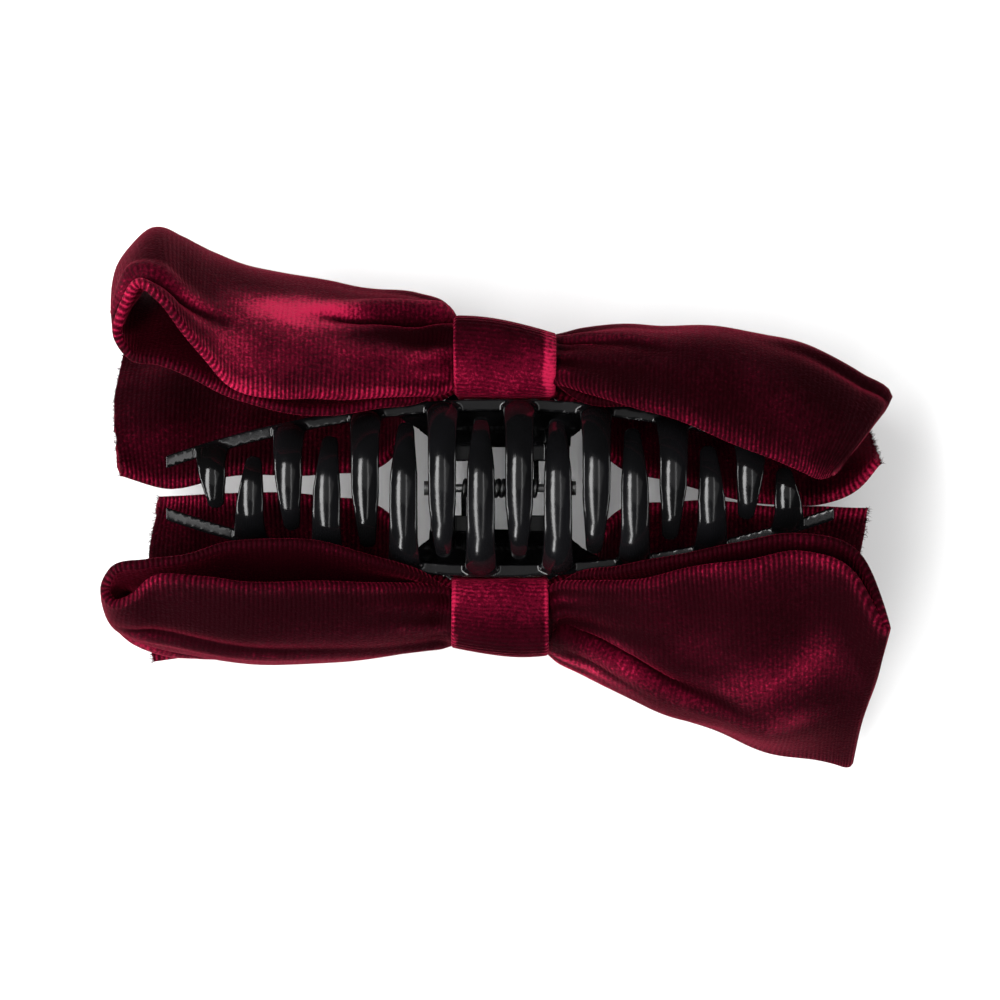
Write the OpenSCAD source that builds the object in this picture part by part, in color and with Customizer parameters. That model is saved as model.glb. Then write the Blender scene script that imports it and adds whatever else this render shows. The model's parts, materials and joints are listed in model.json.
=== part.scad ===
// Double-bow hair claw: two identical toothed jaws on a sprung hinge, with a velvet bow glued to the
// outside of each. X runs along the hinge, Y across it, Z from the lever ends up to the teeth.
// The origin is the middle of the footprint, on the surface that the lever ends stand on.

/* [Claw] */
// Length of each jaw
claw_l = 110; // [95:1:120]
// Width across both rails at mid-length, jaws closed
claw_w = 29.6; // [28:0.2:32]
// Width across both rails at their ends
claw_end_w = 10.6; // [9:0.2:13]
// Thickness of a rail, seen from above
rail_t = 2.0; // [1.8:0.1:2.6]
// Height of a rail
rail_h = 4.5; // [3.5:0.5:5]
// How far the ends of a rail rise above its middle
rail_rise = 5; // [3:0.5:7]

/* [Teeth] */
// Teeth on each jaw
teeth = 8; // [6:1:8]
// Width of a tooth where it leaves the rail
tooth_root_w = 5.4; // [5:0.1:6]
// Width of a tooth half way along
tooth_mid_w = 4.7; // [4:0.1:5]
// Width of a tooth at its rounded tip
tooth_tip_w = 2.8; // [2.2:0.1:3.8]
// Thickness of a tooth
tooth_t = 2.0; // [1.6:0.1:2.2]

/* [Hinge and spring] */
// Height of the hinge axis above the lever ends
hinge_z = 20; // [19:0.5:22]
// Diameter of the hinge pin
pin_d = 1.4; // [1.2:0.1:1.4]
// Outside diameter of the spring's coil
coil_d = 3.4; // [3.3:0.1:3.6]
// Diameter of the spring's wire
wire_d = 0.85; // [0.7:0.05:0.85]

/* [Lever] */
// Width of a lever at the hinge
lever_w = 24; // [24:1:26]
// Thickness of a lever
lever_t = 2.0; // [1.8:0.1:2.2]

/* [Bow] */
// Width of the band round the middle of each bow
band_w = 16.6; // [15:0.1:17]
// Height of the band
band_h = 26; // [26:0.5:28]
// Thickness of a loop at its middle, both layers of ribbon and the gap between them
loop_t = 8; // [6:0.5:9]
// Thickness of a tail, a single flattened tube of ribbon
tail_t = 2.0; // [1.6:0.1:2.4]

/* [Hidden] */
$fn = 48;

hinge_y = 2;              // the bows are not the same size, so the hinge is off the footprint's middle
eps = 0.01;
big = 200;

// Rails: an arc in plan, and a shallower arc in side view
rail_sag = (claw_w - claw_end_w) / 2;
rail_r = (pow(claw_l / 2, 2) + pow(rail_sag, 2)) / (2 * rail_sag);
rail_z = 9;               // mid-height of a rail above the hinge, at mid-length
rail_side_r = (pow(claw_l / 2, 2) + pow(rail_rise, 2)) / (2 * rail_rise);
function rail_out(x) = claw_w / 2 - rail_r + sqrt(pow(rail_r, 2) - pow(x, 2));
function rail_mid_z(x) = rail_z + rail_side_r - sqrt(pow(rail_side_r, 2) - pow(x, 2));

// Teeth: arcs that lean towards their own rail, so that the tips end inside the other one
tooth_pitch = 2 * claw_l / (2 * teeth + 1.37);
tooth_lean = 1.2;         // the arc's centre, towards the tooth's own rail
tooth_crown_r = 4.6;      // radius of the rounded outer face
tooth_start = -14;        // the arc starts inside the rail
tooth_sweep = 168;        // where the middle teeth end
tooth_sweep_cut = 33;     // how much sooner the end teeth stop
tooth_neck = 5.5;         // distance from the rail to where the root has narrowed
tooth_taper = 9;          // distance from the tip at which a tooth starts to narrow
tooth_slant = 0.9;        // how far the end teeth's tips are set in towards the middle
function tooth_x(i) = (i - (teeth - 1) / 2) * tooth_pitch - tooth_pitch / 4;
function tooth_end(x) = tooth_sweep - tooth_sweep_cut * pow(abs(x) / (claw_l / 2 - 7), 1.5);

// Levers: part of a ring that bows in towards the hinge
lever_r = 18.3;
lever_y = 26.3;
lever_z = -5.25;
lever_top = 9.5;
grip_d = 1.1;

// Hinge eyes: each jaw has one outer and one inner eye, and the jaws' eyes lie side by side
eye_r = 2.4;
eye_t = 1.9;
eye_gap = 0.2;
bore_r = pin_d / 2 + 0.05;
eye_outer_x = lever_w / 2;
eye_inner_x = eye_outer_x - eye_t - eye_gap;
pin_head_d = 2.4;
pin_head_l = 0.7;
shelf_x = 4.4;            // from the middle to a shelf's near side
shelf_l = 7.4;
shelf_y = 4.6;            // from the hinge axis to a shelf's free edge
shelf_z = -2.4;
shelf_t = 1.6;

// Torsion spring: close-wound about the pin, a leg at each end
coil_r = (coil_d - wire_d) / 2;
coil_pitch = wire_d * 1.09;
leg_angle = 37.7;         // between each leg and straight down
leg_l = 9;
coil_turns = 13 + (180 - 2 * leg_angle) / 360;
coil_half_l = coil_turns * coil_pitch / 2;
coil_steps = 14;
wire_sides = 8;

// Bow: the layers inside the band, measured outwards from the hinge axis
band_back = 15.1;
band_front = 28.3;
band_wall = 1.6;
tie_t = 0.9;
tie_w = 3;
play = 0.1;
bundle_back = band_back + band_wall + tie_t + play;
bundle_front = band_front - band_wall - tie_t - play;
bundle_h = band_h - 2 * (band_wall + tie_t + play);
tails_front = bundle_back + 2.3;
ribbon_back = tails_front + 0.2;
bundle_x = band_w / 2 + 0.5;
pad_w = 14;
pad_top = 5.5;
pad_bottom = -8;

// Sections of the loops, from the band to the end. Each is [top rim, bottom rim, bulge, share of
// loop_t], and a rim is [distance from the middle, distance outwards from the hinge, height above
// the lever ends]. The top rims lean in towards the claw, and the bottom rims stand away from it.
back_left_loop = [
    [[8.4, 22.6, 30], [8.4, 23.4, 10], 0, 0.62],
    [[10.5, 20, 32.5], [10.5, 26.5, 9.5], 0.5, 0.68],
    [[13, 16.5, 35.5], [13, 30, 9], 1, 0.78],
    [[19, 14.8, 40], [20, 34, 7], 2, 0.9],
    [[27, 14.2, 44], [29, 36.5, 5.5], 3, 1],
    [[37, 15.5, 46], [38, 38, 5], 3.5, 1],
    [[46, 19.5, 46.5], [47, 40.5, 6], 4, 1.1],
    [[54, 24, 45.5], [55, 41.6, 7.5], 3.5, 1.2],
    [[61.5, 26.5, 43], [60, 41.6, 10], 2, 0.9],
    [[64.8, 27.5, 39], [63, 38, 14], 0.5, 0.4]
];
back_right_loop = [
    [[8.4, 22.6, 30], [8.4, 23.4, 10], 0, 0.62],
    [[10.5, 20, 32.5], [10.5, 25, 9.5], 1, 0.66],
    [[13, 16.5, 35.5], [13, 26.5, 8.5], 1.5, 0.75],
    [[20, 14.2, 40.5], [21, 26, 6.5], 3, 0.8],
    [[29, 11, 43.5], [31, 25, 5.5], 4, 0.85],
    [[39, 7, 45.5], [42, 22.5, 6], 5, 0.85],
    [[49, 3.5, 46], [53, 18.5, 7.5], 5.5, 0.8],
    [[57.5, 4.5, 44.5], [60.5, 15, 10], 5, 0.75],
    [[65.3, 11.5, 35], [66.25, 14, 20], 1, 0.4]
];
front_left_loop = [
    [[8.4, 22.6, 30], [8.4, 23.4, 10], 0, 0.62],
    [[10.5, 19.8, 32.5], [10.5, 25, 9.5], 1, 0.68],
    [[13, 16.2, 35], [13, 26.5, 8.5], 1.5, 0.8],
    [[20, 13.8, 39.5], [20, 27, 6.5], 2.5, 1],
    [[30, 12.2, 43], [31, 27.5, 5.5], 3.5, 1.1],
    [[42, 11.8, 44], [44, 27.5, 6], 4, 1.1],
    [[53, 13, 43], [54, 27, 8.5], 4, 1.05],
    [[60.5, 14.8, 40.5], [60, 25, 12], 3, 0.9],
    [[65.6, 17.5, 35], [66.25, 20.5, 20], 1, 0.4]
];
front_right_loop = [
    [[8.4, 22.6, 30], [8.4, 23.4, 10], 0, 0.62],
    [[10.5, 19.8, 32.5], [10.5, 27, 9.7], 0.3, 0.66],
    [[13, 16.4, 35.5], [13, 30.5, 9.5], 0.5, 0.7],
    [[20, 15.4, 39.5], [20, 35, 8.5], 1, 0.7],
    [[29, 14.3, 43], [29, 39, 8], 1.5, 0.75],
    [[40, 12.6, 45], [41, 43.5, 9], 2, 0.8],
    [[51, 11.8, 45.2], [52, 46.4, 10.5], 2, 0.75],
    [[59.5, 15.5, 43], [58, 47.6, 11.5], 2, 0.6],
    [[63.2, 23, 38], [60, 47.6, 12], 1, 0.35]
];
// Shape of a section: [share of the way down, share of the thickness]
loop_profile = [[0, 0.42], [0.12, 0.8], [0.3, 1], [0.5, 1], [0.7, 1], [0.88, 0.8], [1, 0.42]];

// Sections of the tails, behind the loops: the top rim reaches in under the claw's rail, and each
// is [distance from the middle, top rim, bend, bottom rim], the last three as [outwards, height]
tail_root = [
    [8.4, [18.85, 30], [18.7, 20], [18.85, 10]],
    [10.2, [17, 28.3], [17.6, 19], [19.5, 8]],
    [13.5, [14.9, 25.3], [16.8, 17], [21, 5.5]],
    [19, [5.5, 24.2], [14, 18], [21.5, 4.5]]
];
back_left_tail = concat(tail_root, [
    [30, [1.6, 24.2], [12, 19.5], [23, 3]],
    [46, [1.5, 25], [12, 20], [25, 2.5]],
    [62.5, [1.6, 26], [12, 21], [25, 2.5]]
]);
back_right_tail = concat(tail_root, [
    [30, [1.4, 24.2], [9, 20], [18, 3.5]],
    [46, [-2.5, 25.5], [6, 21.5], [14, 3.5]],
    [58, [-1.5, 27.5], [3.5, 22], [10, 4]],
    [63.5, [4.5, 27], [6.5, 21], [9.5, 7]]
]);
front_left_tail = concat(tail_root, [
    [30, [1.6, 24.2], [10, 19], [22, 2.2]],
    [46, [1.4, 25], [10, 19], [26, 1.8]],
    [58, [1.5, 26], [10, 19.5], [30, 1.8]]
]);
front_right_tail = concat(tail_root, [
    [30, [3, 24.2], [12, 19], [25, 3]],
    [46, [3.8, 25], [12, 20.5], [28, 3]],
    [61, [4.2, 26], [12, 22], [28, 4]]
]);

// ---- Shared shapes ----

// The hinge axis becomes the local X axis
module at_hinge() {
    translate([0, hinge_y, hinge_z]) children();
}

// Draws the front jaw or bow by turning the back one half a turn about Z
module front_half() {
    rotate([0, 0, 180]) children();
}

// Mirrors a bow drawn for the back onto the front
module front_mirror() {
    mirror([0, 1, 0]) children();
}

// An outline in [Y, Z], drawn out along X by length, centred
module along_x(length) {
    rotate([90, 0, 90]) linear_extrude(height = length, center = true) children();
}

// An outline in [X, Z], drawn out along Y, centred
module along_y(length) {
    rotate([90, 0, 0]) linear_extrude(height = length, center = true) children();
}

module rounded_rectangle(low, high, r) {
    translate(low + [r, r]) offset(r = r) square(high - low - [2 * r, 2 * r]);
}

// ---- Jaws ----

module inside_rail_face() {
    translate([0, claw_w / 2 - rail_r, 0]) cylinder(r = rail_r, h = big, center = true, $fn = 180);
}

module rail() {
    intersection() {
        difference() {
            inside_rail_face();
            translate([0, claw_w / 2 - rail_r, 0])
                cylinder(r = rail_r - rail_t, h = big, center = true, $fn = 180);
        }
        along_y(big) translate([0, rail_z + rail_side_r]) difference() {
            circle(r = rail_side_r + rail_h / 2, $fn = 180);
            circle(r = rail_side_r - rail_h / 2, $fn = 180);
        }
        translate([-claw_l / 2, 0, 0]) cube([claw_l, claw_w, 25]);
    }
}

// The tooth's section: a crowned outer face at radius r
module tooth_section(r) {
    intersection() {
        translate([r - tooth_crown_r, 0]) circle(r = tooth_crown_r);
        translate([r - tooth_t, -tooth_root_w / 2]) square([tooth_t, tooth_root_w]);
    }
}

// The tooth from above, from past its root at +Y to its rounded tip at tip_x
module tooth_plan(root_y, tip_x, tip_y) {
    tip_r = tooth_tip_w / 2;
    length = root_y - tip_y;
    neck_y = root_y - min(tooth_neck, length / 3);
    taper_y = tip_y + min(tooth_taper, length / 2);
    polygon(concat(
        [
            [tooth_root_w / 2, root_y + 1],
            [-tooth_root_w / 2, root_y + 1],
            [-tooth_root_w / 2, root_y - 1.2],
            [-tooth_mid_w / 2, neck_y],
            [tip_x / 3 - tooth_mid_w / 2 + 0.1, taper_y]
        ],
        [for (a = [180 : 15 : 360]) [tip_x + tip_r * cos(a), tip_y + tip_r + tip_r * sin(a)]],
        [
            [tip_x / 3 + tooth_mid_w / 2 - 0.1, taper_y],
            [tooth_mid_w / 2, neck_y],
            [tooth_root_w / 2, root_y - 1.2]
        ]
    ));
}

module tooth(x) {
    r = rail_out(x) - tooth_lean;
    end = tooth_end(x);
    translate([x, 0, 0]) intersection() {
        translate([0, tooth_lean, rail_mid_z(x)]) rotate([90, 0, 90]) rotate([0, 0, tooth_start])
            rotate_extrude(angle = end - tooth_start) tooth_section(r);
        linear_extrude(height = 60)
            tooth_plan(rail_out(x), -tooth_slant * x / (claw_l / 2), tooth_lean + r * cos(end));
    }
}

// The lever from the front, wide where it joins the rail
module lever_front() {
    half = lever_w / 2;
    polygon([
        [-half - 8, lever_top], [-half - 2, 5], [-half, 2], [-half, -8], [-half + 1, -16], [-half + 2, -18.6],
        [-half + 4, -hinge_z], [half - 4, -hinge_z], [half - 2, -18.6], [half - 1, -16], [half, -8], [half, 2],
        [half + 2, 5], [half + 8, lever_top]
    ]);
}

module lever() {
    intersection() {
        along_x(2 * lever_w) translate([lever_y, lever_z]) difference() {
            circle(r = lever_r + lever_t / 2, $fn = 120);
            circle(r = lever_r - lever_t / 2, $fn = 120);
        }
        along_y(2 * claw_w) lever_front();
        union() {
            inside_rail_face();
            translate([-lever_w, 0, -hinge_z]) cube([2 * lever_w, lever_y, hinge_z]);
        }
        translate([-lever_w, 0, -hinge_z]) cube([2 * lever_w, lever_y - 4, hinge_z + lever_top]);
    }
    intersection() {
        for (a = [124, 131, 138]) translate([0, lever_y, lever_z]) rotate([a, 0, 0]) lever_grip();
        along_y(4 * claw_w) lever_front();
    }
}

// One finger ridge on the lever's outer face
module lever_grip() {
    translate([0, 0, lever_r - lever_t / 2]) rotate([0, 90, 0])
        cylinder(d = grip_d, h = lever_w - 7, center = true, $fn = 24);
}

// One hinge eye with its web, its outer face at x
module hinge_eye(x) {
    translate([x - eye_t / 2, 0, 0]) along_x(eye_t) difference() {
        union() {
            circle(r = eye_r);
            polygon([[-0.6, 2.32], [11.6, 6], [9.6, 2.5], [8.6, 0], [8, -5], [0.8, -2.26]]);
        }
        circle(r = bore_r);
    }
}

// Shelves that stiffen the lever on each side of the spring
module hinge_shelves() {
    for (side = [-1, 1]) translate([side * (shelf_x + shelf_l / 2), 0, shelf_z])
        linear_extrude(height = shelf_t) translate([-shelf_l / 2, shelf_y])
            square([shelf_l, lever_y - lever_r - shelf_y]);
}

module jaw() {
    rail();
    for (i = [0 : teeth - 1]) tooth(tooth_x(i));
    lever();
    hinge_shelves();
    hinge_eye(-eye_outer_x + eye_t);
    hinge_eye(eye_inner_x);
}

module front_jaw() {
    color([0.03, 0.03, 0.035]) at_hinge() front_half() jaw();
}

module back_jaw() {
    color([0.03, 0.03, 0.035]) at_hinge() jaw();
}

// ---- Hinge pin and spring ----

module hinge_pin() {
    half = eye_outer_x + 0.15;
    color([0.2, 0.2, 0.21]) at_hinge() rotate([0, 90, 0]) {
        cylinder(d = pin_d, h = 2 * half + 2 * eps, center = true);
        for (side = [-1, 1]) translate([0, 0, side * (half + pin_head_l / 2)])
            cylinder(d = pin_head_d, h = pin_head_l, center = true);
    }
}

// The wire's centre line: left leg, coil, right leg
left_turn = 180 - leg_angle;
function coil_angle(s) = left_turn + (coil_turns * 360 - (180 - 2 * leg_angle)) - coil_turns * 360 * s;
function coil_point(s) =
    [coil_half_l * (2 * s - 1), coil_r * cos(coil_angle(s)), coil_r * sin(coil_angle(s))];
left_leg_dir = [0, -sin(leg_angle), -cos(leg_angle)];
right_leg_dir = [0, sin(leg_angle), -cos(leg_angle)];
coil_rings = ceil(coil_turns * coil_steps);
spring_path = concat(
    [coil_point(0) + leg_l * left_leg_dir, coil_point(0) + 0.5 * left_leg_dir],
    [for (i = [0 : coil_rings]) coil_point(i / coil_rings)],
    [coil_point(1) + 0.5 * right_leg_dir, coil_point(1) + leg_l * right_leg_dir]
);

function unit(v) = v / norm(v);
function path_dir(p, i) = unit(p[min(i + 1, len(p) - 1)] - p[max(i - 1, 0)]);
// A ring of points about the wire, kept square to the path; the X axis is never along the path
function ring(p, i, r, sides) =
    let (
        t = path_dir(p, i),
        n = unit(cross(t, [1, 0, 0])),
        b = cross(t, n)
    ) [for (k = [0 : sides - 1]) p[i] + r * (cos(360 * k / sides) * n + sin(360 * k / sides) * b)];

module wire(p, r, sides) {
    last = len(p) - 1;
    points = [for (i = [0 : last]) each ring(p, i, r, sides)];
    walls = [
        for (i = [0 : last - 1], k = [0 : sides - 1])
            let (a = i * sides + k, b = i * sides + (k + 1) % sides) [a, a + sides, b + sides, b]
    ];
    start_cap = [[for (k = [0 : sides - 1]) k]];
    end_cap = [[for (k = [sides - 1 : -1 : 0]) last * sides + k]];
    polyhedron(points = points, faces = concat(walls, start_cap, end_cap), convexity = 10);
}

module torsion_spring() {
    color([0.1, 0.1, 0.11]) at_hinge() wire(spring_path, wire_d / 2, wire_sides);
}

// ---- Bows, drawn for the back of the claw ----

module bow_block(low_u, high_u, height, width) {
    translate([-width / 2, low_u, -height / 2]) cube([width, high_u - low_u, height]);
}

module bow_band() {
    along_x(band_w) difference() {
        rounded_rectangle([band_back, -band_h / 2], [band_front, band_h / 2], 4);
        rounded_rectangle(
            [band_back + band_wall, -band_h / 2 + band_wall],
            [band_front - band_wall, band_h / 2 - band_wall], 2.4
        );
    }
}

module bow_tie() {
    low = [bundle_back - play / 2, -bundle_h / 2 - play / 2];
    high = [bundle_front + play / 2, bundle_h / 2 + play / 2];
    along_x(tie_w) difference() {
        rounded_rectangle(low - [tie_t, tie_t], high + [tie_t, tie_t], 2.8);
        rounded_rectangle(low, high, 0.1);
    }
}

// Skins rings of points into one closed solid; each ring goes down one side and back up the other
module skin(rings) {
    n = len(rings[0]);
    last = len(rings) - 1;
    end = last * n;
    walls = [
        for (i = [0 : last - 1], k = [0 : n - 1])
            let (a = i * n + k, b = i * n + (k + 1) % n) each [[a, b, b + n], [a, b + n, a + n]]
    ];
    first_cap = [
        for (k = [0 : n / 2 - 2]) each [[k, n - 1 - k, n - 2 - k], [k, n - 2 - k, k + 1]]
    ];
    last_cap = [
        for (k = [0 : n / 2 - 2])
            each [[end + k, end + k + 1, end + n - 2 - k], [end + k, end + n - 2 - k, end + n - 1 - k]]
    ];
    polyhedron(points = [for (r = rings) each r], faces = concat(walls, first_cap, last_cap), convexity = 6);
}

// Unit vector across a line from one rim to the other, pointing outwards and up
function across(top, low) = let (d = low - top) [0, -d[2], d[1]] / norm([d[1], d[2]]);

// One ring of a loop: down its outer face and back up its inner one
function loop_ring(section) =
    let (
        top = section[0] - [0, 0, hinge_z],
        low = section[1] - [0, 0, hinge_z],
        out = across(top, low),
        middle = [for (q = loop_profile) top + (low - top) * q[0] + out * section[2] * 4 * q[0] * (1 - q[0])],
        half = [for (q = loop_profile) out * q[1] * section[3] * loop_t / 2],
        n = len(loop_profile)
    ) concat(
        [for (i = [0 : n - 1]) middle[i] + half[i]],
        [for (i = [n - 1 : -1 : 0]) middle[i] - half[i]]
    );

module loop(sections) {
    skin([for (q = sections) loop_ring(q)]);
}

module bow_ribbon(left, right) {
    bow_block(ribbon_back, bundle_front, bundle_h, 2 * bundle_x);
    loop(right);
    mirror([1, 0, 0]) loop(left);
}

// One ring of a tail: the outline of a bent strip
function tail_ring(section) =
    let (
        q = [for (i = [1 : 3]) [section[0], section[i][0], section[i][1] - hinge_z]],
        n = [across(q[0], q[1]), across(q[0], q[2]), across(q[1], q[2])],
        half = tail_t / 2
    ) concat([for (i = [0 : 2]) q[i] + n[i] * half], [for (i = [2 : -1 : 0]) q[i] - n[i] * half]);

module tail(sections) {
    skin([for (q = sections) tail_ring(q)]);
}

module bow_tails(left, right) {
    bow_block(bundle_back, tails_front, bundle_h, 2 * bundle_x);
    tail(right);
    mirror([1, 0, 0]) tail(left);
}

module bow_glue_pad() {
    intersection() {
        translate([-pad_w / 2, 8, pad_bottom])
            cube([pad_w, band_back - play - 8, pad_top - pad_bottom]);
        along_x(big) translate([lever_y, lever_z]) circle(r = lever_r - lever_t / 2 - play, $fn = 120);
    }
}

velvet = [0.38, 0.03, 0.1];
glue = [0.75, 0.72, 0.65];
thread = [0.2, 0.02, 0.06];

module front_bow_ribbon() {
    color(velvet) at_hinge() front_mirror() bow_ribbon(front_left_loop, front_right_loop);
}

module front_bow_tails() {
    color(velvet) at_hinge() front_mirror() bow_tails(front_left_tail, front_right_tail);
}

module front_bow_band() {
    color(velvet) at_hinge() front_mirror() bow_band();
}

module front_bow_tie() {
    color(thread) at_hinge() front_mirror() bow_tie();
}

module front_bow_glue_pad() {
    color(glue) at_hinge() front_mirror() bow_glue_pad();
}

module back_bow_ribbon() {
    color(velvet) at_hinge() bow_ribbon(back_left_loop, back_right_loop);
}

module back_bow_tails() {
    color(velvet) at_hinge() bow_tails(back_left_tail, back_right_tail);
}

module back_bow_band() {
    color(velvet) at_hinge() bow_band();
}

module back_bow_tie() {
    color(thread) at_hinge() bow_tie();
}

module back_bow_glue_pad() {
    color(glue) at_hinge() bow_glue_pad();
}

front_jaw();
back_jaw();
hinge_pin();
torsion_spring();
front_bow_ribbon();
front_bow_tails();
front_bow_band();
front_bow_tie();
front_bow_glue_pad();
back_bow_ribbon();
back_bow_tails();
back_bow_band();
back_bow_tie();
back_bow_glue_pad();
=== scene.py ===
"""Looks of a double-bow hair claw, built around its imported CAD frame.

Two glossy toothed jaws on a sprung hinge carry a velvet bow each. Every bow is made of a flattened tube
of ribbed velvet: two loops, two tails with raw ends, and a short band round the gathered middle.
"""

import json
import math

import bpy
import numpy as np
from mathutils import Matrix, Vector


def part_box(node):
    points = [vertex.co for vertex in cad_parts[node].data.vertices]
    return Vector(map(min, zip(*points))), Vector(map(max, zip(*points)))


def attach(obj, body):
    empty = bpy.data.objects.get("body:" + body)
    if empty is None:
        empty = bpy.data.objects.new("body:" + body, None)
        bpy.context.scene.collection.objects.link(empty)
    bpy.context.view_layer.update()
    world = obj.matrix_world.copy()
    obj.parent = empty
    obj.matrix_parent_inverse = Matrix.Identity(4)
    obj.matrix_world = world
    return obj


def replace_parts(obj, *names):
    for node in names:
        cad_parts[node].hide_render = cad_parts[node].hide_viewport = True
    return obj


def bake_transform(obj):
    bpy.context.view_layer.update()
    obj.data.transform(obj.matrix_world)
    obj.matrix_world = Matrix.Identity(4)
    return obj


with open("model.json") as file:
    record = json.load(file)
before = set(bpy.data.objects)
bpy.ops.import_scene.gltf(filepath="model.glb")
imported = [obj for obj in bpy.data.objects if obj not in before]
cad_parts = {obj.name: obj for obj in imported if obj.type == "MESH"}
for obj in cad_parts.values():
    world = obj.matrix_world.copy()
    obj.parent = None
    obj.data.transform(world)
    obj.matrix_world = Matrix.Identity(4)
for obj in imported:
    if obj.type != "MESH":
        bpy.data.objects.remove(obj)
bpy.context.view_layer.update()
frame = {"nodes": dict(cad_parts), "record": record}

MM = 0.001
JOINT = frame["record"]["behaviour"]["joints"][0]
HINGE_Y, HINGE_Z = (JOINT["pos_m"][i] / MM for i in (1, 2))
BODY = {"front": "front_half", "back": "back_half"}
SIDE = {"front": -1, "back": 1}  # which way a bow stands off the hinge

# ---- Ribbon ----
RIBBON_W = 46.0  # the flattened tube's width
RIBBON_T = 1.6  # both layers of cloth
RIM_STEPS = 7  # faces round a folded rim
WALE = 0.78  # pitch of the velvet's ribs

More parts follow.
